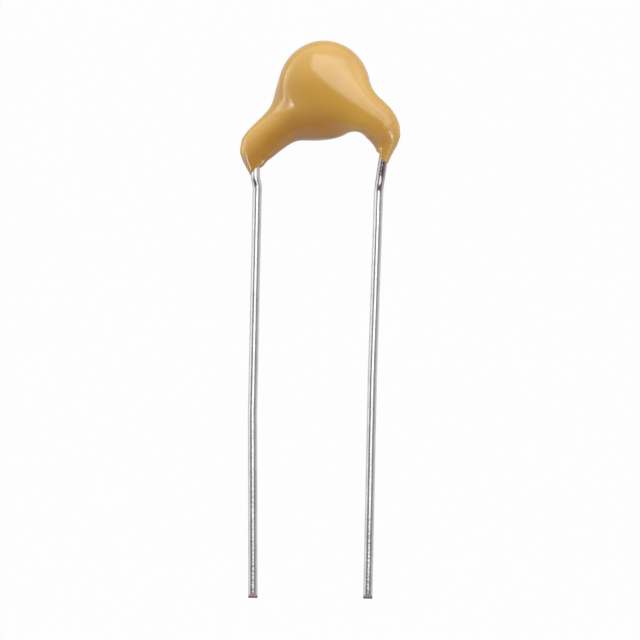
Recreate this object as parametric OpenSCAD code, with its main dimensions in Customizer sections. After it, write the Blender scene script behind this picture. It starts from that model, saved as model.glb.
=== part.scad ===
// Radial-leaded ceramic disc capacitor, conformally coated.
// A silvered ceramic disc carries a tinned wire soldered across each face. The wires run down and
// out under the resin, turn at an elbow and go on as the two legs. Millimetres throughout.
//
// It is drawn flat first: the disc's middle is at 0, its axis is Z, the legs point to -Y and the
// right lead is on the front (+Z) face. resting() then lays it on its back, where the bulge
// of the coating's rear face and the tips of both legs touch the ground.

/* [Ceramic disc] */
// Diameter of the bare ceramic disc
disc_d = 4.1; // [3.9:0.05:4.2]
// Thickness of the bare ceramic disc
disc_t = 0.8; // [0.6:0.05:0.9]
// Size of the worn bevel round the disc's edges
disc_bevel = 0.08; // [0.04:0.02:0.2]
// Diameter of the fired silver electrode on each face
electrode_d = 3.6; // [3.4:0.1:3.8]
// Thickness of an electrode
electrode_t = 0.03; // [0.02:0.01:0.04]

/* [Solder] */
// Radius of the solder drawn up round a wire
solder_r = 0.38; // [0.36:0.02:0.44]
// Film of solder between a wire and its electrode
solder_film = 0.03; // [0.02:0.01:0.05]
// Length of wire left bare of solder before it passes the electrode's edge
solder_short = 0.25; // [0.15:0.05:0.5]

/* [Lead wire] */
// Diameter of the tinned wire
wire_d = 0.5; // [0.45:0.01:0.52]
// Angle of the wires across the disc, below the horizontal
run_angle = 45; // [43:1:47]
// How far a wire goes past the middle of its run across the disc
run_past = 1.5; // [1.2:0.1:1.6]
// Distance from the middle of the run to the bend at the disc's edge
run_edge = 2.15; // [2.1:0.05:2.3]
// Radius of the bend at the disc's edge, at the wire's centre line
edge_bend_r = 0.6; // [0.5:0.05:0.8]
// Radius of the elbow's bend
elbow_bend_r = 0.8; // [0.6:0.05:0.9]
// Radius of the slight bends below the elbow
kink_bend_r = 0.8; // [0.6:0.05:0.9]
// Height of the sheared slope that the cutter leaves at a tip
tip_cut = 0.3; // [0.1:0.05:0.4]
// Share of the wire's thickness that the shear slope takes off
tip_share = 0.6; // [0.3:0.05:0.8]

/* [Left lead, on the rear face] */
// Corner of the left elbow, which is still behind the legs
left_elbow = [-3.65, -3.39, -0.23]; // [-4:0.01:0]
// Corner where the wire leaves the coating and turns in
left_exit = [-3.62, -4.91]; // [-5.2:0.01:-3.4]
// Corner where it turns straight down
left_kink = [-3.5, -5.36]; // [-5.8:0.01:-3.2]
// Corner of the slight bow half way down the leg
left_bow = [-3.54, -17.5]; // [-19:0.01:-3.2]
// End of the left lead
left_tip = [-3.34, -27.5]; // [-28:0.01:-3]

/* [Right lead, on the front face] */
// Corner of the right elbow, which is still in front of the legs
right_elbow = [3.39, -2.71, 0.28]; // [-3.2:0.01:4]
// Corner below the coating's edge
right_exit = [3.12, -4.73, 0.08]; // [-5.2:0.01:3.6]
// Corner where the wire turns back once more
right_step = [3.07, -5.09, 0.07]; // [-5.4:0.01:3.6]
// Corner where it turns straight down
right_kink = [3.02, -5.6]; // [-5.8:0.01:3.6]
// Corner of the slight bow half way down the leg
right_bow = [2.87, -15.5]; // [-19:0.01:3.4]
// End of the right lead
right_tip = [2.84, -27.43]; // [-28:0.01:3.4]

/* [Coating over the disc] */
// Middle of the coated disc
coat_at = [-0.04, 0.39]; // [-0.5:0.01:0.5]
// Radius of the coated disc
coat_r = 2.02; // [1.9:0.02:2.2]
// Half of the coated disc's thickness
coat_h = 1.02; // [0.96:0.02:1.2]
// Middle of the resin that has sagged towards the leads
sag_at = [0.04, -0.43]; // [-0.6:0.01:0.2]
// Radius of the sagged resin
sag_r = 2.34; // [2.2:0.02:2.5]
// Half of the sagged resin's thickness
sag_h = 0.98; // [0.9:0.02:1.2]
// Roundness of the coated disc's section: 2 is an ellipse, more is boxier
crown = 3.13; // [2.8:0.01:3.4]
// Size of the fillet between the coated disc and the sagged resin
sag_blend = 1.34; // [1.1:0.02:1.6]
// Size of the fillet between the disc and the left arm
left_blend = 0.54; // [0.4:0.02:0.9]
// Size of the fillet between the disc and the right arm
right_blend = 0.56; // [0.4:0.02:0.9]

/* [Coating down the left lead: place past the edge bend, outward shift, extra in front, half width, half depth] */
// Ridge over the wire's end on the disc
left_start = [-3.6, 0, 0, 0.6, 0.5]; // [-4:0.01:2]
// Where the resin of the arm meets that of the disc
left_ridge = [-1.28, -0.25, 0.84, 1.92, 0.44]; // [-1.5:0.01:2]
// Where the arm leaves the disc
left_shoulder = [0.44, -0.08, 0.75, 1.29, 0.67]; // [-1:0.01:2]
// Thickest part of the arm
left_arm = [2.22, 0.04, 0.06, 1.07, 0.67]; // [-1:0.01:3]
// Outside of the elbow
left_bulge = [2.76, -0.01, -0.12, 1.04, 0.66]; // [-1:0.01:3]
// Neck below the elbow
left_neck = [3.2, 0.05, -0.16, 0.78, 0.54]; // [-1:0.01:4]
// Where the coating ends
left_end = [4.5, -0.04, -0.06, 0.27, 0.31]; // [-1:0.01:5]
// Lowest point of the run-down, and the rise of the coating's edge from it, in degrees
left_rim = [-3.89, -4.78, 35]; // [-5:0.01:60]

/* [Coating down the right lead: place past the edge bend, outward shift, extra in front, half width, half depth] */
// Ridge over the wire's end on the disc
right_start = [-3.6, 0, 0, 0.6, 0.5]; // [-4:0.01:2]
// Broad ridge over the wire across the disc
right_ridge = [-2.18, -0.44, 0.2, 1.52, 0.72]; // [-2.5:0.01:2]
// Where the arm leaves the disc
right_shoulder = [0.94, 0.29, 0.17, 1.11, 0.71]; // [-1:0.01:2]
// Thickest part of the arm
right_arm = [1.64, 0.22, 0.05, 1.07, 0.78]; // [-1:0.01:3]
// Outside of the elbow
right_bulge = [2.1, 0.07, 0.02, 0.9, 0.66]; // [-1:0.01:3]
// Neck below the elbow
right_neck = [2.72, 0.01, 0.2, 0.58, 0.46]; // [-1:0.01:4]
// Where the coating ends
right_end = [3.94, -0.02, 0.2, 0.27, 0.29]; // [-1:0.01:5]
// Lowest point of the run-down, and the rise of the coating's edge from it, in degrees
right_rim = [3.5, -3.97, 38]; // [-5:0.01:60]

/* [Rest] */
// Height of the disc's middle above the ground, on the bulge of the rear face
rest_height = 1.344; // [1.1:0.001:1.5]
// Lean towards the right leg, so that both tips touch the ground
rest_lean = 0.03; // [0:0.01:1]

/* [Hidden] */
$fn = 48;

// -- places worked out from the driving dimensions --
face_z = disc_t / 2 + electrode_t;
wire_z = face_z + solder_film + wire_d / 2;

// Corners of a lead's centre line as [x, y, z, bend radius], from its end on the disc to its tip.
// side is -1 for the left lead, on the rear face, and 1 for the right one, on the front.
function lead_route(side, elbow, lower) =
    let (down = [side * cos(run_angle), -sin(run_angle)],
         outer = [elbow[0], elbow[1]],
         middle = outer - (outer * down) * down,
         start = middle - run_past * down,
         edge = middle + run_edge * down)
    concat([[start[0], start[1], side * wire_z, 0],
            [edge[0], edge[1], side * wire_z, edge_bend_r],
            [elbow[0], elbow[1], elbow[2], elbow_bend_r]],
           [for (p = lower) [p[0], p[1], len(p) > 2 ? p[2] : 0, kink_bend_r]]);

left_route = lead_route(-1, left_elbow, [left_exit, left_kink, left_bow, left_tip]);
right_route = lead_route(1, right_elbow,
                         [right_exit, right_step, right_kink, right_bow, right_tip]);

// -- vectors --
function xy(p) = [p[0], p[1]];
function xyz(p) = [p[0], p[1], p[2]];
function unit(v) = v / norm(v);
function across(v) = [v[1], -v[0]];
function total(v) = v * [for (x = v) 1];

// -- the bent wire --
// Way of the straight that leaves corner i
function way(route, i) = unit(xyz(route[i + 1]) - xyz(route[i]));
// Angle turned at corner i
function bend(route, i) =
    i < 1 || i > len(route) - 2 ? 0 : acos(way(route, i - 1) * way(route, i));
// Length that the bend at corner i takes from the straights on its two sides
function trim(route, i) = route[i][3] * tan(bend(route, i) / 2);
// Length of the straight after corner i
function straight(route, i) =
    norm(xyz(route[i + 1]) - xyz(route[i])) - trim(route, i) - trim(route, i + 1);
// Side towards which corner i bends, square to the straight before it
function lean(route, i) =
    unit(way(route, i) - way(route, i - 1) * (way(route, i - 1) * way(route, i)));
// The same side once the bend is made, square to the straight after it
function lean_after(route, i) =
    unit(cross(cross(way(route, i - 1), lean(route, i)), way(route, i)));
// Turn of the wire about itself between the bend before corner i and the one at corner i
function roll(route, i) =
    i < 2 ? 0 : atan2(cross(lean_after(route, i - 1), lean(route, i)) * way(route, i - 1),
                      lean_after(route, i - 1) * lean(route, i));

// Made as on a wire bender: feed a straight up +Z, turn the wire, bend it towards +X, go on.
module bent_wire(route, i = 0) {
    cylinder(d = wire_d, h = straight(route, i));
    if (i < len(route) - 2) {
        radius = route[i + 1][3];
        angle = bend(route, i + 1);
        translate([0, 0, straight(route, i)]) rotate(roll(route, i + 1)) {
            translate([radius, 0, 0]) rotate([90, 0, 180])
                rotate_extrude(angle = angle) translate([radius, 0]) circle(d = wire_d);
            translate([radius, 0, 0]) rotate([0, angle, 0]) translate([-radius, 0, 0])
                bent_wire(route, i + 1);
        }
    }
}

// Puts +Z along the straight that leaves corner i, and +X towards the front
module along(route, i, from) {
    z = way(route, i);
    y = unit(cross(z, [0, 0, 1]));
    x = cross(y, z);
    multmatrix([[x[0], y[0], z[0], from[0]],
                [x[1], y[1], z[1], from[1]],
                [x[2], y[2], z[2], from[2]],
                [0, 0, 0, 1]])
        children();
}

module lead(route) {
    z = way(route, 0);
    x = lean(route, 1);
    y = cross(z, x);
    last = len(route) - 1;
    difference() {
        multmatrix([[x[0], y[0], z[0], route[0][0]],
                    [x[1], y[1], z[1], route[0][1]],
                    [x[2], y[2], z[2], route[0][2]],
                    [0, 0, 0, 1]])
            bent_wire(route);
        // The shear slope at the tip faces the front and the end
        along(route, last - 1, xyz(route[last]))
            translate([wire_d * (0.5 - tip_share), 0, 0])
                rotate([0, atan2(wire_d * tip_share, tip_cut), 0]) rotate([0, -90, 0])
                    translate([0, -wire_d, -wire_d]) cube(2 * wire_d);
    }
}

// -- the coating's surface --
// Each part of the resin is a function of a point: below 0 inside, 0 on its surface, and roughly
// the distance outside. blend() joins two of them with a fillet.
function blend(a, b, size) = min(a, b) - pow(max(size - abs(a - b), 0), 2) / (4 * size);

// A lens with a rounded edge
function lens(p, at, r, h) =
    let (out = norm(xy(p) - at) / r,
         up = abs(p[2]) / h,
         level = max(pow(pow(out, crown) + pow(up, crown), 1 / crown), 0.001),
         slope = pow(level, 1 - crown) * norm([pow(out, crown - 1) / r, pow(up, crown - 1) / h]))
    (level - 1) / max(slope, 1 / r);

// A tapered bar between stations a and b, each [x, y, z, half width, half depth]
function bar(p, a, b) =
    let (axis = xyz(b) - xyz(a),
         t = min(max((p - xyz(a)) * axis / (axis * axis), 0), 1),
         off = p - xyz(a) - t * axis,
         wide = a[3] + t * (b[3] - a[3]),
         deep = a[4] + t * (b[4] - a[4]))
    norm([off[0], off[1], off[2] * wide / deep]) - wide;

// Over how much distance one bar of an arm gives way to the next
bar_soft = 0.2;
// Bars from station to station, averaged where two are about as near
function arm(p, stations) =
    let (gaps = [for (i = [1 : len(stations) - 1]) bar(p, stations[i - 1], stations[i])],
         nearest = min(gaps),
         shares = [for (gap = gaps) exp((nearest - gap) / bar_soft)])
    (gaps * shares) / total(shares);

// Point of a lead's centre line, s past the bend at the disc's edge, from corner i on
function lead_point(route, s, i = 1) =
    let (reach = norm(xyz(route[i + 1]) - xyz(route[i])))
    s > reach && i < len(route) - 2 ? lead_point(route, s - reach, i + 1)
                                    : xyz(route[i]) + s * way(route, s < 0 ? i - 1 : i);
// Which corner that point comes after
function lead_corner(route, s, i = 1) =
    let (reach = norm(xyz(route[i + 1]) - xyz(route[i])))
    s < 0 ? 0 : s > reach ? lead_corner(route, s - reach, i + 1) : i;

// The resin hangs about the plane of the legs, so its guide is the wire's route without the
// height that the wire keeps past the disc's edge
function guide(route) = [for (c = route) [c[0], c[1], abs(c[2]) < wire_z ? 0 : c[2], c[3]]];

// Stations [x, y, z, half width, half depth], s being one of the lists at the top
function station(route, side, s) =
    let (line = guide(route),
         p = lead_point(line, s[0]),
         out = unit(across(xy(way(line, lead_corner(line, s[0]))))) * -side * s[1])
    [p[0] + out[0], p[1] + out[1], p[2] + s[2] / 2, s[3], s[4] + s[2] / 2];

// The stations of an arm, and more of them in even steps on a smooth curve through those
bar_length = 0.36;
function arm_stations(route, side, list) =
    let (places = [for (s = list) s[0]],
         given = [for (s = list) station(route, side, s)],
         last = len(list) - 1,
         slopes = [for (i = [0 : last])
             let (a = max(i - 1, 0), b = min(i + 1, last))
             (given[b] - given[a]) / (places[b] - places[a])],
         span = places[last] - places[0],
         count = ceil(span / bar_length))
    [for (k = [0 : count])
        let (s = places[0] + span * k / count,
             i = min(max([for (n = [0 : last]) if (places[n] < s + 1e-9) n]), last - 1),
             gap = places[i + 1] - places[i],
             t = (s - places[i]) / gap)
        (2 * t * t * t - 3 * t * t + 1) * given[i] + (t * t * t - 2 * t * t + t) * gap * slopes[i]
        + (3 * t * t - 2 * t * t * t) * given[i + 1] + (t * t * t - t * t) * gap * slopes[i + 1]];

left_stations = arm_stations(left_route, -1,
    [left_start, left_ridge, left_shoulder, left_arm, left_bulge, left_neck, left_end]);
right_stations = arm_stations(right_route, 1,
    [right_start, right_ridge, right_shoulder, right_arm, right_bulge, right_neck, right_end]);

function resin(p) =
    blend(blend(blend(lens(p, coat_at, coat_r, coat_h), lens(p, sag_at, sag_r, sag_h), sag_blend),
                arm(p, left_stations), left_blend),
          arm(p, right_stations), right_blend);

// -- the coating's mesh: rings in planes that fan out from a hub below the arch of the two arms --
hub = [0.2, -4.5];
ring_points = 40;
// Angles about the hub where the right crease begins, the disc begins and ends, and the left
// crease ends, and the number of slices in each of the five shares that they make
fan_marks = [46, 64, 114, 136];
fan_slices = [16, 14, 24, 20, 22];
// How far past the rim the mesh goes before its end is cut to the rim's slope
overrun = 0.2;

// Angle of a place about the hub, from 0 on the right through 90 at the top to more than 180
function fan_angle(p) = let (a = atan2(p[1] - hub[1], p[0] - hub[0])) a < -90 ? a + 360 : a;
// Where a lead passes the height of its rim, less the overrun
function past_rim(route, rim) =
    xyz(route[2]) + way(route, 2) * (route[2][1] - rim[1] + overrun) / -way(route, 2)[1];

// What the rings are drawn round: the leads under their arms, and a place inside the disc
disc_heart = [0, -0.3, 0];
hearts = [for (p = [past_rim(right_route, right_rim), lead_point(right_route, right_neck[0]),
                    lead_point(right_route, right_bulge[0]), lead_point(right_route, right_arm[0]),
                    disc_heart,
                    lead_point(left_route, left_arm[0]), lead_point(left_route, left_bulge[0]),
                    lead_point(left_route, left_neck[0]), past_rim(left_route, left_rim)])
    [fan_angle(p), norm(xy(p) - hub), p[2]]];
heart_out = [for (h = hearts) [h[0], h[1]]];
heart_up = [for (h = hearts) [h[0], h[2]]];

fan_from = hearts[0][0];
fan_to = hearts[len(hearts) - 1][0];
// Angles from a, in equal steps, to just before b
function steps(a, b, count) = [for (n = [0 : count - 1]) a + (b - a) * n / count];
fan_ends = concat([fan_from], fan_marks, [fan_to]);
fan = concat([for (n = [0 : len(fan_slices) - 1])
                 each steps(fan_ends[n], fan_ends[n + 1], fan_slices[n])], [fan_to]);

function fan_way(angle) = [cos(angle), sin(angle), 0];
function heart(angle) =
    [hub[0], hub[1], lookup(angle, heart_up)] + lookup(angle, heart_out) * fan_way(angle);

// Distance from p to the resin's surface, going along a way, by halving
function reach(p, toward, near = 0, far = 4, steps = 13) =
    let (half = (near + far) / 2)
    steps == 0 ? half
    : resin(p + half * toward) < 0 ? reach(p, toward, half, far, steps - 1)
                                   : reach(p, toward, near, half, steps - 1);

function coat_ring(angle) =
    let (middle = heart(angle),
         out = fan_way(angle),
         front = [0, 0, 1],
         stretch = reach(middle, out) / reach(middle, front))
    [for (k = [0 : ring_points - 1])
        let (a = 360 * k / ring_points,
             toward = unit(stretch * cos(a) * out + sin(a) * front))
        middle + reach(middle, toward) * toward];

module coat_skin() {
    rings = [for (angle = fan) coat_ring(angle)];
    points = concat([for (ring = rings) each ring], [heart(fan_from), heart(fan_to)]);
    right_cap = len(points) - 2;
    left_cap = len(points) - 1;
    m = ring_points;
    last = (len(fan) - 1) * m;
    faces = concat(
        [for (n = [0 : len(fan) - 2], k = [0 : m - 1])
            let (a = n * m + k, b = n * m + (k + 1) % m,
                 rise = norm(points[a] - points[b + m]), fall = norm(points[b] - points[a + m]))
            each rise < fall ? [[a, b, b + m], [a, b + m, a + m]] : [[a, b, a + m], [b, b + m, a + m]]],
        [for (k = [0 : m - 1]) [right_cap, (k + 1) % m, k]],
        [for (k = [0 : m - 1]) [left_cap, last + k, last + (k + 1) % m]]);
    polyhedron(points, faces);
}

// What lies below the sloping rim of the coating on one lead
module below_rim(rim, side) {
    block = 3;
    translate([rim[0], rim[1], 0]) rotate(-side * rim[2])
        translate([-block / 2, -block, -block / 2]) cube(block);
}

// -- the pieces, flat --
module electrode(side) {
    translate([0, 0, side > 0 ? disc_t / 2 : -face_z]) cylinder(d = electrode_d, h = electrode_t);
}

// Length of a wire that solder holds, from the wire's end on the disc
soldered = run_past + electrode_d / 2 - solder_short;

// Solder with the wire's space filled, down to a height above the disc's middle
module solder_mound(route, side, foot = face_z) {
    intersection() {
        along(route, 0, xyz(route[0])) {
            cylinder(r = solder_r, h = soldered);
            sphere(r = solder_r);
            translate([0, 0, soldered]) sphere(r = solder_r);
        }
        translate([0, 0, side > 0 ? foot : -foot - disc_d]) cylinder(d = electrode_d, h = disc_d);
    }
}

module solder(route, side) {
    difference() {
        solder_mound(route, side);
        along(route, 0, xyz(route[0])) cylinder(d = wire_d, h = soldered + solder_r + wire_d);
    }
}

module disc_body() {
    rotate_extrude()
        polygon([[0, -disc_t / 2], [disc_d / 2 - disc_bevel, -disc_t / 2],
                 [disc_d / 2, disc_bevel - disc_t / 2], [disc_d / 2, disc_t / 2 - disc_bevel],
                 [disc_d / 2 - disc_bevel, disc_t / 2], [0, disc_t / 2]]);
}

// -- how it comes to rest --
tip_drop = rest_height - wire_d / 2 - right_tip[0] * sin(rest_lean);
rest_tilt = asin(tip_drop / -right_tip[1]);
// Half way between the outermost points of the two arms, and between the top and the tips
left_at = xyz(station(left_route, -1, left_bulge));
right_at = xyz(station(right_route, 1, right_arm));
arm_span = [left_at[0] - reach(left_at, [-1, 0, 0]), right_at[0] + reach(right_at, [1, 0, 0])];
leg_span = [left_tip[1], disc_heart[1] + reach(disc_heart, [0, 1, 0])];
rest_at = [-(arm_span[0] + arm_span[1]) / 2,
           -(leg_span[0] + leg_span[1]) / 2 * cos(rest_tilt), rest_height];

module resting() {
    translate(rest_at) rotate([rest_tilt, rest_lean, 0]) children();
}

// -- one module for each node --
module ceramic_disc() {
    color([0.78, 0.72, 0.62]) resting() disc_body();
}

module front_electrode() {
    color([0.88, 0.88, 0.86]) resting() electrode(1);
}

module rear_electrode() {
    color([0.88, 0.88, 0.86]) resting() electrode(-1);
}

module front_solder() {
    color([0.62, 0.63, 0.64]) resting() solder(right_route, 1);
}

module rear_solder() {
    color([0.62, 0.63, 0.64]) resting() solder(left_route, -1);
}

module left_lead() {
    color([0.75, 0.74, 0.75]) resting() lead(left_route);
}

module right_lead() {
    color([0.75, 0.74, 0.75]) resting() lead(right_route);
}

module coating() {
    color([0.80, 0.63, 0.29]) resting() difference() {
        coat_skin();
        below_rim(left_rim, -1);
        below_rim(right_rim, 1);
        // The space of the disc, the electrodes, the solder and the wires is one
        disc_body();
        cylinder(d = electrode_d, h = 2 * face_z, center = true);
        solder_mound(right_route, 1, foot = disc_t / 2);
        solder_mound(left_route, -1, foot = disc_t / 2);
        lead(left_route);
        lead(right_route);
    }
}

coating();
ceramic_disc();
front_electrode();
rear_electrode();
front_solder();
rear_solder();
left_lead();
right_lead();
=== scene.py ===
# %% [markdown]
# # A dipped ceramic disc capacitor
#
# The part is a ceramic disc with a wire soldered to each face, dipped in resin while it hangs from
# its wires. The resin runs down over the wires and stays there as two arms. What shows is the
# resin's glossy ochre skin and two lengths of tinned wire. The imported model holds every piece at
# its real size. This lesson gives the two kinds of visible surface a finer mesh and a finish, in
# the light of a large soft box and pale surroundings, as a small product is lit.

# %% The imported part
import math

import bpy
import numpy as np
from mathutils import Matrix, Vector


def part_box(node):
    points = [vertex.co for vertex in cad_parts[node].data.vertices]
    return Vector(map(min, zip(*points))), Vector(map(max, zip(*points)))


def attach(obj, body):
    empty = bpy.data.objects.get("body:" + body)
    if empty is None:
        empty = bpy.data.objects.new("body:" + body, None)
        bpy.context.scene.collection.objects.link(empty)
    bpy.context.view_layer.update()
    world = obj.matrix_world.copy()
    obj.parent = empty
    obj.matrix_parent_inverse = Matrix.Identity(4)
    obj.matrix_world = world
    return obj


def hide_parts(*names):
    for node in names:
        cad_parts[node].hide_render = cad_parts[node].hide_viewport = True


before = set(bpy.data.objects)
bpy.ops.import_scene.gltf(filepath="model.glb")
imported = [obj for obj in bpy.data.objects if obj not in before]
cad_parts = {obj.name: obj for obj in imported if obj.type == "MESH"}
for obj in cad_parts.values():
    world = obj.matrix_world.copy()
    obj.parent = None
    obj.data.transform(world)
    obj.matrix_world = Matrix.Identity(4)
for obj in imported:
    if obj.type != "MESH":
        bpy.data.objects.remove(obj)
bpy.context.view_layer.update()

# %% [markdown]
# ## How the part lies
#
# A designer draws this part flat: the disc's middle at 0, the wires pointing to -Y, the front
# towards +Z. It then lies on its back, on the bulge of its rear face and the tips of both wires, so
# the flat drawing is tilted by about two degrees. Working in the flat drawing and tilting at the
# end keeps every number readable, so the lesson does the same, in millimetres, with one matrix.

# %% From the flat drawing to the resting part
MM = 0.001
wire_d = 0.5
rest_height = 1.344
rest_lean = math.radians(0.03)

left_tip = (-3.34, -27.5)
right_tip = (2.84, -27.43)
tip_drop = rest_height - wire_d / 2 - right_tip[0] * math.sin(rest_lean)
rest_tilt = math.asin(tip_drop / -right_tip[1])

ceramic_low, ceramic_high = (Vector(corner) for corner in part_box("ceramic_disc"))
rest_at = (ceramic_low + ceramic_high) / 2
resting = (Matrix.Translation(rest_at) @ Matrix.Rotation(rest_lean, 4, "Y")
           @ Matrix.Rotation(rest_tilt, 4, "X") @ Matrix.Scale(MM, 4))
axes = resting.to_3x3().normalized()
print("tilt", round(math.degrees(rest_tilt), 2), "disc at, in mm",
      [round(1000 * c, 3) for c in rest_at])


def laid(points):
    """Points of the flat drawing, in mm, as places on the resting part, in metres."""
    matrix = np.array(resting)
    return np.asarray(points) @ matrix[:3, :3].T + matrix[:3, 3]


# %% [markdown]
# ## Nodes written as sums
#
# Materials and Geometry Nodes are graphs, and long graphs are hard to read as code. Small classes
# help. `Value` wraps a socket, and `a * b + 1` on values adds the Math nodes. `Graph` adds any
# other node, from its type, its settings and the values or links of its sockets.

# %% Sockets that can be added and multiplied
class Value:
    """A socket of a node tree that ordinary arithmetic works on."""

    def __init__(self, graph, socket):
        self.graph, self.socket = graph, socket

    def __add__(self, other):
        return self.graph.maths("ADD", self, other)

    def __radd__(self, other):
        return self.graph.maths("ADD", other, self)

    def __sub__(self, other):
        return self.graph.maths("SUBTRACT", self, other)

    def __rsub__(self, other):
        return self.graph.maths("SUBTRACT", other, self)

    def __mul__(self, other):
        return self.graph.maths("MULTIPLY", self, other)

    def __rmul__(self, other):
        return self.graph.maths("MULTIPLY", other, self)

    def __truediv__(self, other):
        return self.graph.maths("DIVIDE", self, other)

    def __neg__(self):
        return self.graph.maths("MULTIPLY", self, -1)

    def __gt__(self, other):
        return self.graph.maths("GREATER_THAN", self, other)

    def to(self, low, high):
        """0 at low, 1 at high and smooth between."""
        settings = {"interpolation_type": "SMOOTHSTEP"}
        values = {"Value": self, "From Min": low, "From Max": high}
        return self.graph.add("ShaderNodeMapRange", settings, values)["Result"]


# %% Any other node
class Node:
    """A node whose outputs are picked by name or number, as values."""

    def __init__(self, graph, node):
        self.graph, self.node = graph, node

    def __getitem__(self, output):
        return Value(self.graph, self.node.outputs[output])


class Graph:
    """Adds nodes to a tree: settings first, then the values or links of the sockets."""

    def __init__(self, tree):
        self.tree = tree

    def add(self, kind, settings=None, sockets=None):
        """Any node, from its type, its settings and what goes into its sockets."""
        node = self.tree.nodes.new(kind)
        for name, value in (settings or {}).items():
            if name == "stops":
                self._ramp(node.color_ramp, value)
            else:
                setattr(node, name, value)
        for name, value in (sockets or {}).items():
            self.put(node.inputs[name], value)
        return Node(self, node)

    def maths(self, operation, *numbers):
        """A Math node, also for what has no operator, such as an arccosine."""
        return self.add("ShaderNodeMath", {"operation": operation}, dict(enumerate(numbers)))[0]

    def vector(self, operation, *vectors):
        """A Vector Math node on vectors. DOT_PRODUCT gives a number, the others a vector."""
        node = self.add("ShaderNodeVectorMath", {"operation": operation}, dict(enumerate(vectors)))
        return node["Value" if operation == "DOT_PRODUCT" else "Vector"]

    def scaled(self, vector, factor):
        """A vector made longer by a factor."""
        return self.add("ShaderNodeVectorMath", {"operation": "SCALE"}, {
            0: vector, "Scale": factor})["Vector"]

    def mix(self, share, a, b):
        """Colour a where the share is 0 and colour b where it is 1."""
        return self.add("ShaderNodeMix", {"data_type": "RGBA"}, {0: share, 6: a, 7: b})[2]

    def put(self, socket, value):
        """Links a value to a socket, or sets the socket to a plain number or colour."""
        if isinstance(value, Value):
            self.tree.links.new(value.socket, socket)
        else:
            socket.default_value = value

    def _ramp(self, ramp, stops):
        while len(ramp.elements) < len(stops):
            ramp.elements.new(0.5)
        for element, (place, colour) in zip(ramp.elements, stops):
            element.position, element.color = place, colour


# %% [markdown]
# ## Camera
#
# The part is seen from straight in front of its flat drawing, from far away with a long lens, so
# that the two wires keep the same thickness from end to end. The picture is turned by about one
# degree against the drawing.

# %% Camera
view_width = 34.43
view_middle = (0.0, -12.484, 0.0)
view_roll = math.radians(1.03)
lens_mm, sensor_mm = 200.0, 36.0
nearest, farthest = 0.01, 10.0

camera = bpy.data.objects.new("camera", bpy.data.cameras.new("camera"))
bpy.context.scene.collection.objects.link(camera)
bpy.context.scene.camera = camera
camera.data.lens, camera.data.sensor_width = lens_mm, sensor_mm
camera.data.clip_start, camera.data.clip_end = nearest, farthest
view_distance = view_width * MM * lens_mm / sensor_mm
turned = axes @ Matrix.Rotation(view_roll, 3, "Z")
camera.matrix_world = (Matrix.Translation(Vector(laid([view_middle])[0]))
                       @ turned.to_4x4() @ Matrix.Translation((0, 0, view_distance)))
print("camera", round(1000 * view_distance), "mm away")

# %% [markdown]
# ## Floor
#
# The part lies on a plain white sheet. A sheet that is only matt would come out grey towards its
# edges, and one that only glows would lose the part's shadow. So it is both: camera rays see
# nearly all of it as clean white, mirrored and refracted rays see more than half of it so, and the
# rest is an ordinary matt surface that takes the shadow.

# %% Floor
def plain_material(name):
    """A material with an empty tree, the graph that fills the tree, and its output node."""
    material = bpy.data.materials.new(name)
    material.use_nodes = True
    material.node_tree.nodes.clear()
    graph = Graph(material.node_tree)
    output = graph.add("ShaderNodeOutputMaterial")
    return material, graph, output


floor_size = 2.0
white, off_white = (1, 1, 1, 1), (0.80, 0.80, 0.80, 1)
clean_seen, clean_mirrored = 0.975, 0.6

sheet, graph, output = plain_material("white_sheet")
rays = graph.add("ShaderNodeLightPath")
clean_share = (rays["Is Camera Ray"] * clean_seen
               + (rays["Is Glossy Ray"] + rays["Is Transmission Ray"]) * clean_mirrored)
matt = graph.add("ShaderNodeBsdfDiffuse", sockets={"Color": off_white})
clean = graph.add("ShaderNodeEmission", sockets={"Color": white, "Strength": 1.0})
mixed = graph.add("ShaderNodeMixShader", sockets={0: clean_share, 1: matt[0], 2: clean[0]})
graph.put(output.node.inputs["Surface"], mixed[0])

half = floor_size / 2
floor_mesh = bpy.data.meshes.new("floor")
floor_mesh.from_pydata([(-half, -half, 0), (half, -half, 0), (half, half, 0), (-half, half, 0)],
                       [], [(0, 1, 2, 3)])
floor_mesh.materials.append(sheet)
floor = bpy.data.objects.new("floor", floor_mesh)
bpy.context.scene.collection.objects.link(floor)
print("floor", floor_size, "m square")

# %% [markdown]
# ## Light
#
# Glossy resin and bright wire are seen by what they mirror, so the light is planned as what stands
# round the part. Directions are measured as the camera sees them, in degrees right of and above the
# line from the part to the camera.
#
# The room is the world, written as a sum of broad washes. Each is a strength, times how far its
# direction leans to one side, times a ramp that starts some way off the camera's line: close to
# that line stand the camera and whoever works it, and they are dark. The ceiling and walls are
# pale, the far left is brighter, and some light comes back from the table. What comes from low down
# is tinted a little pink. Camera rays see plain white instead, as they do on the sheet.

# %% The room
low_pink = (1.0, 0.72, 0.86, 1)

world = bpy.data.worlds.new("room")
bpy.context.scene.world = world
world.use_nodes = True
world.node_tree.nodes.clear()
graph = Graph(world.node_tree)
direction = graph.add("ShaderNodeTexCoord")["Generated"]
right, up, out = (graph.vector("DOT_PRODUCT", direction, axes.col[n]) for n in range(3))
off_axis = graph.maths("ARCCOSINE", out) * (180 / math.pi)
above, below, east, west = (graph.maths("MAXIMUM", part, 0.0) for part in (up, -up, right, -right))

lens_side = graph.maths("MAXIMUM", 0.10 - 0.4 * below, 0.0)
ceiling = above * (0.35 + 0.75 * off_axis.to(15, 45))
overhead = 0.30 * above * above
walls = (0.36 * east + 0.40 * west) * off_axis.to(15, 55)
far_left = 0.7 * west * west * off_axis.to(66, 90)
far_right = 0.1 * east * east * off_axis.to(70, 92)
table = 0.75 * below * below * off_axis.to(53, 74)
room = lens_side + ceiling + overhead + walls + far_left + far_right + table

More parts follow.
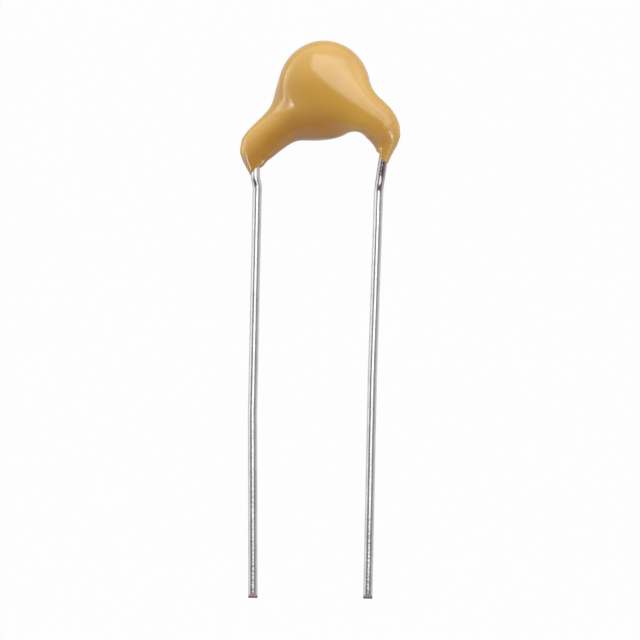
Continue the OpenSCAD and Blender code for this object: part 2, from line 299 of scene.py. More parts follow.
tint = graph.mix(up.to(-0.7, 0.15), low_pink, white)
lit = graph.add("ShaderNodeBackground", sockets={"Color": tint, "Strength": room})
plain = graph.add("ShaderNodeBackground", sockets={"Color": white, "Strength": 1.0})
seen = graph.add("ShaderNodeLightPath")["Is Camera Ray"]
mixed = graph.add("ShaderNodeMixShader", sockets={0: seen, 1: lit[0], 2: plain[0]})
graph.add("ShaderNodeOutputWorld", sockets={"Surface": mixed[0]})
print("the room has", len(world.node_tree.nodes), "nodes")

# %% [markdown]
# Seven flat lamps stand in the room. A straight wire mirrors only one narrow row of directions,
# and a rounded skin mirrors them all, so resin and wire want different lamps, and each lamp is
# linked to the pieces that it lights.
#
# For the resin, the large soft box is the key light and makes the pale patch on the disc. A narrow
# strip draws the line of light along the disc's left side. A spark low on the right makes the small
# hot spot at the right arm's end. A card on the right and a glow on the left, both very soft,
# brighten the flanks. For the wires, a box above and a card on the left draw the lines of light.
#
# A lamp's power follows from how bright it should look in a mirror: a flat lamp that looks L bright
# over an area A gives pi * A * L watts. Its edges fade out, and its level may change along it.

# %% Lamps and what they light
lamp_distance = 0.3
lit_resin, lit_wire = (bpy.data.collections.new(name) for name in ("lit_resin", "lit_wire"))


def direction_of(degrees):
    """Unit vector of (right, up) degrees off the camera's line, in the resting frame."""
    off = math.radians(math.hypot(*degrees))
    share = math.sin(off) / off if off else 1.0
    return axes @ Vector((math.radians(degrees[0]) * share, math.radians(degrees[1]) * share,
                          math.cos(off)))


def lamp_glow(data, half_long, half_wide, soft, levels):
    """Nodes that fade a lamp's edges over soft degrees and set its levels along its length."""
    data.use_nodes = True
    data.node_tree.nodes.clear()
    graph = Graph(data.node_tree)
    place = graph.add("ShaderNodeSeparateXYZ", None, {
        "Vector": graph.add("ShaderNodeTexCoord")["UV"]})
    edges = 1.0
    for across, half in ((place["X"], half_long), (place["Y"], half_wide)):
        rim = soft / (2 * half)
        edges = edges * across.to(0.0, rim) * (1 - across.to(1.0 - rim, 1.0))
    ramp = graph.add("ShaderNodeValToRGB", {
        "stops": [(at, (level,) * 3 + (1,)) for at, level in levels]}, {"Fac": place["X"]})
    light = graph.add("ShaderNodeEmission", None, {"Strength": edges * ramp["Color"]})
    graph.add("ShaderNodeOutputLight", None, {"Surface": light[0]})


def lamp(name, start, end, half_wide, looks, soft, lights, levels=((0, 1), (1, 1))):
    """A flat lamp from one direction to another, all in degrees, that lights one collection."""
    middle = direction_of([(a + b) / 2 for a, b in zip(start, end)])
    along = direction_of(end) - direction_of(start)
    along = (along - along.dot(middle) * middle).normalized()
    half_long = math.hypot(end[0] - start[0], end[1] - start[1]) / 2
    data = bpy.data.lights.new(name, "AREA")
    data.shape = "RECTANGLE"
    data.size, data.size_y = (2 * lamp_distance * math.tan(math.radians(h))
                              for h in (half_long, half_wide))
    data.energy = math.pi * data.size * data.size_y * looks
    lamp_glow(data, half_long, half_wide, soft, levels)
    stand = bpy.data.objects.new(name, data)
    bpy.context.scene.collection.objects.link(stand)
    turn = Matrix((along, middle.cross(along), middle)).transposed().to_4x4()
    stand.matrix_world = Matrix.Translation(rest_at + middle * lamp_distance) @ turn
    stand.light_linking.receiver_collection = lights
    print(name, "looks", looks, "and gives", round(data.energy, 2), "W")


lamp("soft_box", (60, -7.7), (-10.3, 45), half_wide=24, looks=2.4, soft=8, lights=lit_resin,
     levels=[(0, 0.6), (0.15, 0.6), (0.22, 0.45), (0.31, 0.5), (0.39, 0.65), (0.5, 1)])
lamp("strip", (-54, -30), (-75, 48), half_wide=9, looks=7.5, soft=6, lights=lit_resin,
     levels=[(0, 1), (0.14, 1), (0.25, 0.18), (1, 0.08)])
lamp("spark", (49, -44), (67, -44), half_wide=9, looks=6.0, soft=5, lights=lit_resin)
lamp("right_card", (62, -40), (62, 50), half_wide=30, looks=0.95, soft=28, lights=lit_resin)
lamp("left_glow", (-86, -45), (-86, 32), half_wide=24, looks=2.2, soft=23, lights=lit_resin)
lamp("wire_box", (4, -10.5), (4, 44), half_wide=26, looks=1.4, soft=3, lights=lit_wire)
lamp("left_card", (-72, -4), (-72, 50), half_wide=24, looks=0.5, soft=8, lights=lit_wire)

# %% [markdown]
# ## The wires' routes
#
# Each wire starts on a face of the disc, runs down and out at 45 degrees, turns at an elbow and
# goes on as a leg. A route is a short list of corners with a bend radius at each. Just below the
# resin the legs have kinks of a few hundredths of a millimetre, as leads straightened by hand do.
# These tilt the bright metal a little, and the tilted patches mirror the dark side of the room.

# %% Corners of the two wires
disc_t, electrode_t, solder_film = 0.8, 0.03, 0.03
wire_z = disc_t / 2 + electrode_t + solder_film + wire_d / 2
run_angle = math.radians(45)
run_past, run_edge = 1.5, 2.15
edge_bend, elbow_bend, kink_bend = 0.6, 0.8, 0.8

left_elbow, right_elbow = (-3.65, -3.39, -0.23), (3.39, -2.71, 0.28)
left_exit, left_kink, left_bow = (-3.62, -4.91, 0.02), (-3.5, -5.36, -0.03), (-3.54, -17.5, 0)
right_exit, right_step = (3.12, -4.73, 0.055), (3.07, -5.09, 0.05)
right_kink, right_bow = (3.03, -5.5, 0), (2.87, -15.5, 0)


def wire_route(side, elbow, leg):
    """Corners [x, y, z, bend radius]: side -1 is the left wire, on the rear face, 1 the right."""
    down = np.array([side * math.cos(run_angle), -math.sin(run_angle)])
    outer = np.array(elbow[:2])
    middle = outer - (outer @ down) * down
    start, edge = middle - run_past * down, middle + run_edge * down
    return np.array([[*start, side * wire_z, 0], [*edge, side * wire_z, edge_bend],
                     [*elbow, elbow_bend]] + [[*p, kink_bend] for p in leg])


left_route = wire_route(-1, left_elbow, [left_exit, left_kink, left_bow, (*left_tip, 0)])
right_route = wire_route(1, right_elbow,
                         [right_exit, right_step, right_kink, right_bow, (*right_tip, 0)])
for name, route in (("left", left_route), ("right", right_route)):
    lengths = np.linalg.norm(np.diff(route[:, :3], axis=0), axis=1)
    print(name, "wire:", len(route), "corners,", round(float(lengths.sum()), 1), "mm")

# %% [markdown]
# ## The resin
#
# The resin is one skin over the disc, the solder and the wires, pulled into shape by surface
# tension, so no part of it is flat or has an edge. Modelling it from patches would leave seams.
# Here it is a field instead: a function of a point that is below 0 inside and 0 on the skin. Simple
# forms are joined by `blend`, which puts a fillet between them, as surface tension does.

# %% Lenses, bars and fillets as functions of a point
crown = 3.13
bar_soft = 0.2
least_level = 0.001


def blend(a, b, size):
    """Two forms as one, with a fillet of about this size between them."""
    return np.minimum(a, b) - np.maximum(size - np.abs(a - b), 0) ** 2 / (4 * size)


def lens(p, at, radius, half):
    """About how far points are outside a lens with a rounded edge."""
    out = np.hypot(p[..., 0] - at[0], p[..., 1] - at[1]) / radius
    up = np.abs(p[..., 2]) / half
    level = np.maximum((out ** crown + up ** crown) ** (1 / crown), least_level)
    slope = level ** (1 - crown) * np.hypot(out ** (crown - 1) / radius, up ** (crown - 1) / half)
    return (level - 1) / np.maximum(slope, 1 / radius)


def bar(p, a, b):
    """The same for a tapered bar between two stations, [x, y, z, half width, half depth]."""
    axis = b[:3] - a[:3]
    t = np.clip((p - a[:3]) @ axis / (axis @ axis), 0, 1)
    off = p - a[:3] - t[..., None] * axis
    wide = a[3] + t * (b[3] - a[3])
    deep = a[4] + t * (b[4] - a[4])
    return np.sqrt(off[..., 0] ** 2 + off[..., 1] ** 2 + (off[..., 2] * wide / deep) ** 2) - wide


def arm(p, stations):
    """The bars from station to station, averaged where two are about as near."""
    gaps = np.stack([bar(p, a, b) for a, b in zip(stations, stations[1:])])
    shares = np.exp((gaps.min(0) - gaps) / bar_soft)
    return (gaps * shares).sum(0) / shares.sum(0)


print("3 mm from the middle of a lens of radius 2:",
      lens(np.array([3.0, 0, 0]), (0, 0), 2, 1).round(2), "mm to its skin")

# %% [markdown]
# Each arm follows its wire. A few given stations say how far along the wire they are, how far the
# resin hangs to the outer side, how much more of it is in front, and its half width and half depth.
# A smooth curve through them gives many more stations, and bars join these.

# %% Stations along a wire
station_gap = 0.36


def route_point(route, s):
    """The point s past the bend at the disc's edge, and the way of the wire there."""
    corners = route[:, :3]
    i = 1
    while i < len(corners) - 2 and s > np.linalg.norm(corners[i + 1] - corners[i]):
        s -= np.linalg.norm(corners[i + 1] - corners[i])
        i += 1
    a, b = (0, 1) if s < 0 else (i, i + 1)
    way = (corners[b] - corners[a]) / np.linalg.norm(corners[b] - corners[a])
    return corners[i] + s * way, way


def station(route, side, given):
    """[x, y, z, half width, half depth], with the legs taken as level."""
    place, outward_shift, more_in_front, half_width, half_depth = given
    line = route.copy()
    line[np.abs(line[:, 2]) < wire_z, 2] = 0
    point, way = route_point(line, place)
    out = np.array([way[1], -way[0], 0]) * -side
    point = point + out / np.linalg.norm(out) * outward_shift + np.array([0, 0, more_in_front / 2])
    return np.array([*point, half_width, half_depth + more_in_front / 2])


def arm_stations(route, side, given):
    """Stations in even steps on a smooth curve through the given ones."""
    places = np.array([s[0] for s in given], float)
    marks = np.array([station(route, side, s) for s in given])
    last = len(given) - 1
    each = np.arange(len(given))
    before, after = np.maximum(each - 1, 0), np.minimum(each + 1, last)
    slopes = (marks[after] - marks[before]) / (places[after] - places[before])[:, None]
    count = math.ceil((places[-1] - places[0]) / station_gap)
    at = np.linspace(places[0], places[-1], count + 1)
    i = np.minimum(np.searchsorted(places, at, side="right") - 1, last - 1)
    gap = (places[i + 1] - places[i])[:, None]
    t = (at - places[i])[:, None] / gap
    return ((2 * t ** 3 - 3 * t ** 2 + 1) * marks[i] + (t ** 3 - 2 * t ** 2 + t) * gap * slopes[i]
            + (3 * t ** 2 - 2 * t ** 3) * marks[i + 1] + (t ** 3 - t ** 2) * gap * slopes[i + 1])


# %% [markdown]
# The coat over the disc is one lens, and what sagged below it before it cured is another. A wide
# fillet makes them one drop. The arms join it with narrower fillets, so the hollows beside each arm
# stay, and these hollows give the glossy skin its curved lines of light.

# %% The resin's field
coat_at, coat_r, coat_h = (-0.04, 0.39), 2.02, 1.02
sag_at, sag_r, sag_h = (0.04, -0.43), 2.34, 0.98
sag_blend, left_blend, right_blend = 1.34, 0.54, 0.56

left_start, left_ridge = (-3.6, 0, 0, 0.6, 0.5), (-1.28, -0.25, 0.84, 1.92, 0.44)
left_shoulder, left_arm = (0.44, -0.08, 0.75, 1.29, 0.67), (2.22, 0.04, 0.06, 1.07, 0.67)
left_bulge, left_neck = (2.76, -0.01, -0.12, 1.04, 0.66), (3.2, 0.05, -0.16, 0.78, 0.54)
left_end = (4.5, -0.04, -0.06, 0.27, 0.31)
right_start, right_ridge = (-3.6, 0, 0, 0.6, 0.5), (-2.18, -0.44, 0.2, 1.52, 0.72)
right_shoulder, right_arm = (0.94, 0.29, 0.17, 1.11, 0.71), (1.64, 0.22, 0.05, 1.07, 0.78)
right_bulge, right_neck = (2.1, 0.07, 0.02, 0.9, 0.66), (2.72, 0.01, 0.2, 0.58, 0.46)
right_end = (3.94, -0.02, 0.2, 0.27, 0.29)

left_stations = arm_stations(left_route, -1, [
    left_start, left_ridge, left_shoulder, left_arm, left_bulge, left_neck, left_end])
right_stations = arm_stations(right_route, 1, [
    right_start, right_ridge, right_shoulder, right_arm, right_bulge, right_neck, right_end])


def resin(p):
    """Below 0 inside the resin, in mm."""
    disc = blend(lens(p, coat_at, coat_r, coat_h), lens(p, sag_at, sag_r, sag_h), sag_blend)
    with_left = blend(disc, arm(p, left_stations), left_blend)
    return blend(with_left, arm(p, right_stations), right_blend)


print("field at the disc's middle and 5 mm to its right:",
      resin(np.array([[0, 0, 0], [5, 0, 0]], float)).round(2))

# %% [markdown]
# The skin is found by walking out from inside the resin until the field reaches 0. The walks start
# in planes that fan out from a hub below the arch of the two arms, so that one plane after another
# cuts the right arm, the disc and the left arm about square. Each plane gives one ring of points.
# The heart of a ring, where its walks start, lies on the wire in the arms and near the disc's
# middle in the disc.

# %% Rings in a fan of planes
ring_points = 160
hub = np.array([0.2, -4.5])
fan_marks = [22.0, 46, 64, 114, 136, 174]
fan_slices = [36, 44, 76, 64, 60]
disc_heart = (0, -0.3, 0)
left_past_rim, right_past_rim = 4.6, 4.4
front = np.array([0.0, 0.0, 1.0])


def reach(middle, toward, far=4.0, halvings=24):
    """How far the skin is from points inside the resin, by halving the distance."""
    near, far = np.zeros(toward.shape[:-1]), np.full(toward.shape[:-1], far)
    for _ in range(halvings):
        half_way = (near + far) / 2
        inside = resin(middle + half_way[..., None] * toward) < 0
        near, far = np.where(inside, half_way, near), np.where(inside, far, half_way)
    return (near + far) / 2


def fan_place(p):
    """A point as its angle about the hub, from -90 to 270, its distance from it and its height."""
    right, up = p[0] - hub[0], p[1] - hub[1]
    return (math.degrees(math.atan2(up, right)) + 90) % 360 - 90, math.hypot(right, up), p[2]


heart_points = [route_point(right_route, s)[0]
                for s in (right_past_rim, right_neck[0], right_bulge[0], right_arm[0])]
heart_points.append(disc_heart)
heart_points += [route_point(left_route, s)[0]
                 for s in (left_arm[0], left_bulge[0], left_neck[0], left_past_rim)]
hearts = np.array([fan_place(p) for p in heart_points])

fan = np.concatenate([np.linspace(a, b, n, endpoint=False)
                      for a, b, n in zip(fan_marks, fan_marks[1:], fan_slices)] + [[fan_marks[-1]]])
outward = np.stack([np.cos(np.radians(fan)), np.sin(np.radians(fan)), 0 * fan], 1)
heart_out = np.interp(fan, hearts[:, 0], hearts[:, 1])
heart_up = np.interp(fan, hearts[:, 0], hearts[:, 2])
middles = np.array([*hub, 0.0]) + heart_out[:, None] * outward + heart_up[:, None] * front

stretch = reach(middles, outward) / reach(middles, np.broadcast_to(front, outward.shape))
around = np.radians(np.arange(ring_points) * 360 / ring_points)
toward = (stretch[:, None, None] * np.cos(around)[None, :, None] * outward[:, None, :]
          + np.sin(around)[None, :, None] * front)
toward /= np.linalg.norm(toward, axis=2, keepdims=True)
rings = middles[:, None, :] + reach(middles[:, None, :], toward)[..., None] * toward
print(len(rings), "rings of", ring_points, "points")

# %% [markdown]
# Down each wire the resin thins out and ends in a rim that is never level: it hangs lower where the
# last drop ran. The rim is given as its height at a few angles round the wire, with 0 at the front
# and 90 on the right. Rings carry on down the wire from the fan's last plane and end on the rim,
# with a small rounded lip.

# %% The run-downs and their rims
lip = 0.12
rim_rings = 30
rim_crowding = 1.6
thinnest = 0.02
tucked_in = 0.9
wire_r = wire_d / 2


def rim_height(angles, points):
    """Height of the rim at angles round the wire, eased between its few given points."""
    places = np.array([p[0] for p in points] + [points[0][0] + 360], float)
    heights = np.array([p[1] for p in points] + [points[0][1]], float)
    angles = (angles - places[0]) % 360 + places[0]
    n = np.clip(np.searchsorted(places, angles, side="right") - 1, 0, len(places) - 2)
    t = (angles - places[n]) / (places[n + 1] - places[n])
    return heights[n] + (heights[n + 1] - heights[n]) * (3 - 2 * t) * t * t


def run_down(ring, route, points):
    """Rings from a ring of the fan down the wire to the rim, and one inside the wire."""
    start = route[2, :3]
    way = (route[3, :3] - start) / np.linalg.norm(route[3, :3] - start)
    side = np.cross(front, way)
    side /= np.linalg.norm(side)
    face = np.cross(way, side)
    face *= np.sign(face[2])
    s = (ring - start) @ way
    angle = np.arctan2((ring - start) @ side, (ring - start) @ face)
    spoke = np.cos(angle)[:, None] * face + np.sin(angle)[:, None] * side
    s_rim = (rim_height(np.degrees(angle), points) - start[1]) / way[1]
    made = []
    for t in 1 - (1 - np.linspace(0, 1, rim_rings + 1)[1:]) ** rim_crowding:
        place = s + t * (s_rim - s)
        axis = start + place[:, None] * way
        thick = np.maximum(reach(axis, spoke) - wire_r, thinnest)
        to_rim = np.clip((s_rim - place) / lip, 0, 1)
        made.append(axis + (wire_r + thick * np.sqrt(1 - (1 - to_rim) ** 2))[:, None] * spoke)
    made.append(axis + tucked_in * wire_r * spoke)
    return made


right_rim = [(-90, -3.42), (-60, -3.47), (-28, -3.8), (24, -3.9), (90, -3.97), (180, -3.72)]
left_rim = [(-90, -4.78), (-20, -4.58), (10, -4.43), (50, -4.31), (90, -4.33), (180, -4.5)]
right_rings = run_down(rings[0], right_route, right_rim)
left_rings = run_down(rings[-1], left_route, left_rim)
all_rings = np.array(right_rings[::-1] + list(rings) + left_rings)
print(len(all_rings), "rings in all")

# %% [markdown]
# The rings become one closed mesh: quads between each ring and the next, and a fan of triangles
# over each end, which lies hidden inside the wire.

# %% A mesh from rings
def lofted(name, rings, material):
    """A closed mesh of rings of points, in mm on the flat drawing, laid down at rest."""
    count, size = rings.shape[:2]
    points = np.concatenate([rings.reshape(-1, 3), rings[[0, -1]].mean(1)])
    faces = []
    for n in range(count - 1):
        for k in range(size):
            a, b = n * size + k, n * size + (k + 1) % size
            faces.append((a, a + size, b + size, b))
    last = (count - 1) * size
    for k in range(size):
        faces.append((count * size, k, (k + 1) % size))
        faces.append((count * size + 1, last + (k + 1) % size, last + k))
    mesh = bpy.data.meshes.new(name)
    mesh.from_pydata(laid(points).tolist(), [], faces)
    mesh.polygons.foreach_set("use_smooth", [True] * len(mesh.polygons))
    mesh.materials.append(material)
    mesh.update()
    piece = bpy.data.objects.new(name, mesh)
    bpy.context.scene.collection.objects.link(piece)
    print(name, len(faces), "faces")
    return piece


# %% [markdown]
# ## Ochre epoxy
#
# The skin is pigmented epoxy, cured after a dip: even in colour and glossy like a sweet. Its gloss
# has two layers: the pigmented body, a little rough, and a coat of clear resin over it, which is
# smoother and makes the highlights crisp inside a softer sheen. The colour drifts by a few
# hundredths over millimetres and by less over pigment grains. Low on the disc and down the right
# arm, shade is painted into the colour, as a darker brown. A bump that is a few micrometres high
# keeps the mirrored light from looking drawn with a ruler. All of this is noise and smooth steps
# on Object coordinates, which need no unwrapping and leave no seam on a shape like this.

# %% Helpers for every finish
def grain(graph, place, scale, detail=2.0, rough=0.5):
    """Noise from 0 to 1. place is in mm and scale is how many lumps there are in one of them."""
    return graph.add("ShaderNodeTexNoise", None, {
        "Vector": place, "Scale": scale, "Detail": detail, "Roughness": rough})[0]


def place_in_mm(graph, stretch=(1, 1, 1)):
    """Object coordinates in mm, stretched by a factor along each axis."""
    factors = tuple(f / MM for f in stretch)
    return graph.vector("MULTIPLY", graph.add("ShaderNodeTexCoord")["Object"], factors)


def over_and_down(graph):
    """Millimetres to the right of the part's middle, and down from the middle of the disc."""
    place = graph.add("ShaderNodeSeparateXYZ", None, {"Vector": place_in_mm(graph)})
    return place["X"], rest_at.y / MM - place["Y"]


def bumped(graph, distance, height):
    """The surface's normal under a bump: distance in metres is how high a height of 1 stands."""
    return graph.add("ShaderNodeBump", None, {
        "Strength": 1.0, "Distance": distance, "Height": height})["Normal"]


# %% Epoxy
ochre_deep, ochre_pale = (0.50, 0.281, 0.051, 1), (0.57, 0.329, 0.066, 1)
# The second colour on the next line is a darker brown for painted shade.
ochre_grain, ochre_painted_shade = (0.57, 0.345, 0.080, 1), (0.35, 0.162, 0.032, 1)

epoxy, graph, output = plain_material("ochre_epoxy")
place = place_in_mm(graph)
cloud = grain(graph, place, 0.45, 2.0).to(0.3, 0.7)
pigment = grain(graph, place, 11.0, 3.0, 0.6).to(0.35, 0.75)
over, down = over_and_down(graph)
# Painted shade: the colour is made darker and browner low on the disc and down the right arm.
painted_shade = (down.to(0.8, 2.2) * (over + down).to(-1.0, 0.4) * (1 - over.to(0.4, 2.0))
          + down.to(2.0, 3.4) * over.to(0.0, 1.0) * 0.5)
ochre = graph.mix(cloud, ochre_deep, ochre_pale)
ochre = graph.mix(pigment * 0.22, ochre, ochre_grain)
ochre = graph.mix(painted_shade * 0.7, ochre, ochre_painted_shade)

peel = grain(graph, place, 1.6, 1.0)
dust = grain(graph, place, 7.0, 2.0)
shader = graph.add("ShaderNodeBsdfPrincipled", None, {
    "Base Color": ochre, "Roughness": 0.14 + 0.08 * dust, "IOR": 1.5,
    "Coat Weight": 0.5, "Coat Roughness": 0.05, "Coat IOR": 1.5,
    "Normal": bumped(graph, 4e-6, peel + 0.12 * dust)})
graph.put(output.node.inputs["Surface"], shader[0])

coat = lofted("resin_skin", all_rings, epoxy)
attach(coat, "root")
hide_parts("coating")
lit_resin.objects.link(coat)
print("resin:", round(sum(p.area for p in coat.data.polygons) / MM ** 2, 1), "mm2")

# %% [markdown]
# ## Tinned wire
#
# A lead is drawn copper wire with a coat of tin. The tin carries fine marks along the wire from the
# drawing die, cloudy dull patches and small pits. Close below the resin it is darker and pinker.
# At the tip, the shear has smeared the tin away and left a torn, darker slope. Noise alone can't
# know where that is, so the tree that makes the wire will store two attributes on it: which faces
# are sheared, and how far from the tip each point is, in millimetres.

# %% Material of the wire
tin_bright, tin_dull = (0.79, 0.772, 0.782, 1), (0.68, 0.662, 0.674, 1)
# A darker, pinker tin for close below the resin.
neck_dark_tin = (0.58, 0.50, 0.55, 1)
torn_pale, torn_dark = (0.56, 0.47, 0.51, 1), (0.40, 0.33, 0.36, 1)
torn_end = (0.15, 0.11, 0.125, 1)

tin, graph, output = plain_material("tinned_wire")
drawn = grain(graph, place_in_mm(graph, (1, 0.035, 1)), 16.0, 2.0)
dull = grain(graph, place_in_mm(graph, (1, 0.5, 1)), 2.4, 3.0, 0.6)
pitted = grain(graph, place_in_mm(graph), 7.0, 2.0)
torn = grain(graph, place_in_mm(graph, (1, 1, 0.3)), 9.0, 2.0)
sheared, from_tip = (graph.add("ShaderNodeAttribute", {"attribute_name": name})["Fac"]
                     for name in ("sheared", "from_tip"))

over, down = over_and_down(graph)
# Close below the resin the tin is made darker and pinker, most on the right wire.
neck_darkening = (1 - down.to(4.7, 5.6)) * (0.3 + 0.7 * over.to(0, 1))
tinned = graph.mix(dull.to(0.35, 0.75), tin_bright, tin_dull)
tinned = graph.mix(neck_darkening, tinned, neck_dark_tin)
bare = graph.mix(torn.to(0.35, 0.65), torn_pale, torn_dark)
bare = graph.mix(1 - from_tip.to(0.04, 0.13), bare, torn_end)
shader = graph.add("ShaderNodeBsdfPrincipled", None, {
    "Base Color": graph.mix(sheared, tinned, bare), "Metallic": 1.0,
    "Roughness": 0.08 + 0.06 * drawn + 0.05 * dull + 0.25 * sheared,
    "Normal": bumped(graph, 1.6e-6, drawn + 1.3 * dull + 2.6 * pitted)})
graph.put(output.node.inputs["Surface"], shader[0])
print("tinned wire:", len(tin.node_tree.nodes), "nodes")

# %% [markdown]
# What repeats along a path is best left to Geometry Nodes. The tree takes the corners as a bare
# polyline, rounds each one to its bend radius, sweeps a circle along the result and shears the
# tip. A slow noise moves the path by a hundredth of a millimetre, because no hand-straightened
# wire is dead straight, and that is enough to make the lines of light on it waver.

# %% Named inputs of the wire's tree
wire_tree = bpy.data.node_groups.new("drawn_wire", "GeometryNodeTree")
wire_inputs = {}
for name, kind in (("Corners", "Geometry"), ("Diameter", "Float"), ("Step", "Float"),
                   ("Facets", "Int"), ("Wander", "Float"), ("Seed", "Float"), ("Tip", "Vector"),
                   ("Way", "Vector"), ("Face", "Vector"), ("Cut", "Float"), ("Share", "Float"),
                   ("Material", "Material")):
    socket = wire_tree.interface.new_socket(name, in_out="INPUT",
                                            socket_type="NodeSocket" + kind)
    wire_inputs[name] = socket.identifier
wire_tree.interface.new_socket("Wire", in_out="OUTPUT", socket_type="NodeSocketGeometry")
print("the wire's tree takes", ", ".join(wire_inputs))

# %% The bent path and the tube round it
bend_steps = 16
wander_scale = 0.4

graph = Graph(wire_tree)
given = graph.add("NodeGroupInput")
curve = graph.add("GeometryNodeMeshToCurve", None, {"Mesh": given["Corners"]})[0]
radius = graph.add("GeometryNodeInputNamedAttribute", None, {"Name": "bend"})[0]
curve = graph.add("GeometryNodeFilletCurve", {"mode": "POLY"}, {
    "Curve": curve, "Count": bend_steps, "Radius": radius})[0]
curve = graph.add("GeometryNodeResampleCurve", {"mode": "LENGTH"}, {
    "Curve": curve, "Length": given["Step"]})[0]

here = graph.add("GeometryNodeInputPosition")[0]
slow = graph.add("ShaderNodeTexNoise", {"noise_dimensions": "4D"}, {
    "Vector": graph.scaled(here, wander_scale / MM), "W": given["Seed"],
    "Scale": 1.0, "Detail": 1.0})
drift = graph.vector("SUBTRACT", slow["Color"], (0.5, 0.5, 0.5))
wander = graph.vector("MULTIPLY", drift, graph.add("ShaderNodeCombineXYZ", None, {
    "X": given["Wander"], "Y": 0.0, "Z": given["Wander"]})[0])
curve = graph.add("GeometryNodeSetPosition", None, {"Geometry": curve, "Offset": wander})[0]

circle = graph.add("GeometryNodeCurvePrimitiveCircle", None, {
    "Resolution": given["Facets"], "Radius": given["Diameter"] / 2})[0]
tube = graph.add("GeometryNodeCurveToMesh", None, {
    "Curve": curve, "Profile Curve": circle, "Fill Caps": True})[0]
print("so far", len(wire_tree.nodes), "nodes")

# %% [markdown]
# A shear cuts at a slope. A block larger than the wire stands beyond the tip, turned to that slope,
# and is taken away from the tube. What its face left behind points the way of the block, which is
# how the tree knows the sheared faces.

# %% The sheared tip, and the end of the tree
block_share = 4
facing = 0.9
sharp = math.radians(30)

slope = given["Cut"] / (given["Diameter"] * given["Share"])
cut_way = graph.vector("NORMALIZE", graph.vector(
    "ADD", given["Way"], graph.scaled(given["Face"], slope)))
cut_edge = graph.vector("ADD", given["Tip"], graph.scaled(
    given["Face"], given["Diameter"] * (0.5 - given["Share"])))
block_side = given["Diameter"] * block_share
block = graph.add("GeometryNodeMeshCube", None, {"Size": graph.scaled((1, 1, 1), block_side)})[0]
turn = graph.add("FunctionNodeAxesToRotation", {"primary_axis": "Z", "secondary_axis": "X"}, {
    "Primary Axis": cut_way,
    "Secondary Axis": graph.vector("CROSS_PRODUCT", given["Way"], given["Face"])})[0]
block = graph.add("GeometryNodeTransform", None, {
    "Geometry": block, "Rotation": turn,
    "Translation": graph.vector("ADD", cut_edge, graph.scaled(cut_way, block_side / 2))})[0]
wire = graph.add("GeometryNodeMeshBoolean", {"operation": "DIFFERENCE", "solver": "EXACT"}, {
    "Mesh 1": tube, "Mesh 2": block})[0]

on_cut = graph.vector("DOT_PRODUCT", graph.add("GeometryNodeInputNormal")[0], cut_way) > facing
up_wire = -graph.vector("DOT_PRODUCT", graph.vector("SUBTRACT", here, given["Tip"]), given["Way"])
for name, domain, value in (("sheared", "FACE", on_cut), ("from_tip", "POINT", up_wire / MM)):
    wire = graph.add("GeometryNodeStoreNamedAttribute", {"data_type": "FLOAT", "domain": domain}, {
        "Geometry": wire, "Name": name, "Value": value})[0]
wire = graph.add("GeometryNodeSetShadeSmooth", {"domain": "FACE"}, {
    "Geometry": wire, "Shade Smooth": True})[0]
edge = graph.add("GeometryNodeInputMeshEdgeAngle")["Unsigned Angle"] > sharp
wire = graph.add("GeometryNodeSetShadeSmooth", {"domain": "EDGE"}, {
    "Geometry": wire, "Selection": edge, "Shade Smooth": False})[0]
wire = graph.add("GeometryNodeRealizeInstances", None, {"Geometry": wire})[0]
wire = graph.add("GeometryNodeSetMaterial", None, {
    "Geometry": wire, "Material": given["Material"]})[0]
graph.add("NodeGroupOutput", None, {"Wire": wire})
print("in all", len(wire_tree.nodes), "nodes")


# %% Two wires from the tree
def polyline(name, route):
    """A mesh of a route's corners and the edges between them, with the bend radii on it."""
    mesh = bpy.data.meshes.new(name)
    edges = [(n, n + 1) for n in range(len(route) - 1)]
    mesh.from_pydata(laid(route[:, :3]).tolist(), edges, [])
    radii = mesh.attributes.new("bend", "FLOAT", "POINT")
    radii.data.foreach_set("value", (route[:, 3] * MM).tolist())
    piece = bpy.data.objects.new(name, mesh)
    bpy.context.scene.collection.objects.link(piece)
    return piece


def grown(piece, tree, identifiers, values):
    """Runs a Geometry Nodes tree on a piece and leaves it as a plain mesh."""
    modifier = piece.modifiers.new("nodes", "NODES")
    modifier.node_group = tree
    for name, value in values.items():
        modifier[identifiers[name]] = value
    bpy.context.view_layer.update()
    evaluated = piece.evaluated_get(bpy.context.evaluated_depsgraph_get())
    mesh = bpy.data.meshes.new_from_object(evaluated)
    piece.modifiers.clear()
    piece.data = mesh
    return piece


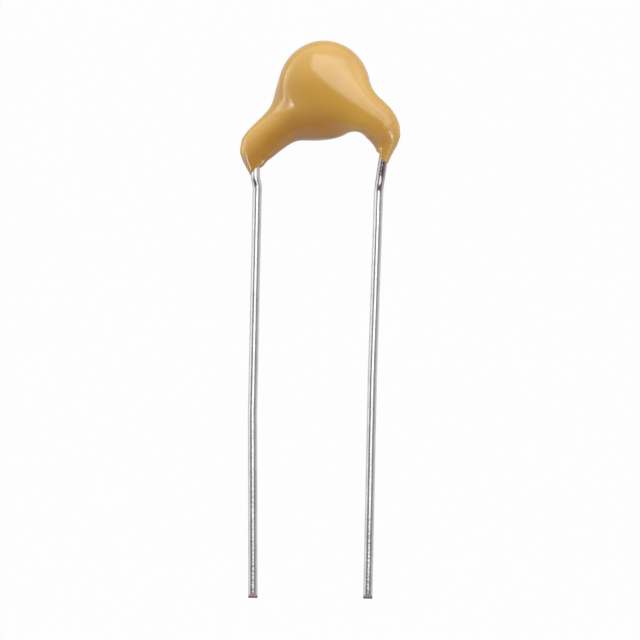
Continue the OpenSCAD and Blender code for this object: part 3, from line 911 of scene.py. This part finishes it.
facets = 64
ring_gap = 0.1
wander_by = 0.015
tip_cut, tip_share = 0.3, 0.6
for name, route, seed, stands_for in (("left_leg_wire", left_route, 3.0, "left_lead"),
                                      ("right_leg_wire", right_route, 8.0, "right_lead")):
    way = route[-1, :3] - route[-2, :3]
    way /= np.linalg.norm(way)
    face = front - way[2] * way
    face /= np.linalg.norm(face)
    wire = grown(polyline(name, route), wire_tree, wire_inputs, {
        "Diameter": wire_d * MM, "Step": ring_gap * MM, "Facets": facets,
        "Wander": wander_by * MM, "Seed": seed, "Tip": laid([route[-1, :3]])[0].tolist(),
        "Way": (np.array(axes) @ way).tolist(), "Face": (np.array(axes) @ face).tolist(),
        "Cut": tip_cut * MM, "Share": tip_share, "Material": tin})
    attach(wire, "root")
    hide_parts(stands_for)
    lit_wire.objects.link(wire)
    print(name, len(wire.data.polygons), "faces")

# %% [markdown]
# ## Inside the resin
#
# The ceramic, its silver and the solder never show, but they are in the model, and whoever cuts it
# open should find them finished. They keep their meshes and get quiet procedural finishes: a fired
# tan ceramic with a fine grain, silver paste with its matt sparkle, and solder that froze in
# shallow ripples.

# %% Inner finishes
def inner_material(name, dark, light, metallic, rough, scale, height):
    """A finish of two tones of one grain, with a roughness and a bump of the same grain."""
    material, graph, output = plain_material(name)
    place = place_in_mm(graph)
    fine = grain(graph, place, scale, 4.0, 0.6)
    broad = grain(graph, place, scale / 8, 2.0)
    tone = graph.mix((fine * 0.6 + broad * 0.4).to(0.35, 0.65), dark, light)
    shader = graph.add("ShaderNodeBsdfPrincipled", None, {
        "Base Color": tone, "Metallic": metallic, "Roughness": rough[0] + fine * rough[1],
        "Normal": bumped(graph, height, fine + broad)})
    graph.put(output.node.inputs["Surface"], shader[0])
    return material


fired = inner_material("fired_ceramic", dark=(0.46, 0.38, 0.28, 1), light=(0.56, 0.48, 0.37, 1),
                       metallic=0.0, rough=(0.55, 0.2), scale=14.0, height=4e-6)
silver = inner_material("fired_silver_paste", dark=(0.62, 0.61, 0.58, 1),
                        light=(0.76, 0.75, 0.72, 1), metallic=1.0, rough=(0.34, 0.2),
                        scale=22.0, height=2e-6)
tin_lead = inner_material("frozen_solder", dark=(0.42, 0.43, 0.44, 1),
                          light=(0.56, 0.57, 0.58, 1), metallic=1.0, rough=(0.22, 0.18),
                          scale=6.0, height=5e-6)
for name, material in (("ceramic_disc", fired), ("front_electrode", silver),
                       ("rear_electrode", silver), ("front_solder", tin_lead),
                       ("rear_solder", tin_lead)):
    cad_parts[name].material_slots[0].material = material
    print(name, "gets", material.name)

# %% View transform
bpy.context.scene.view_settings.view_transform = "Standard"
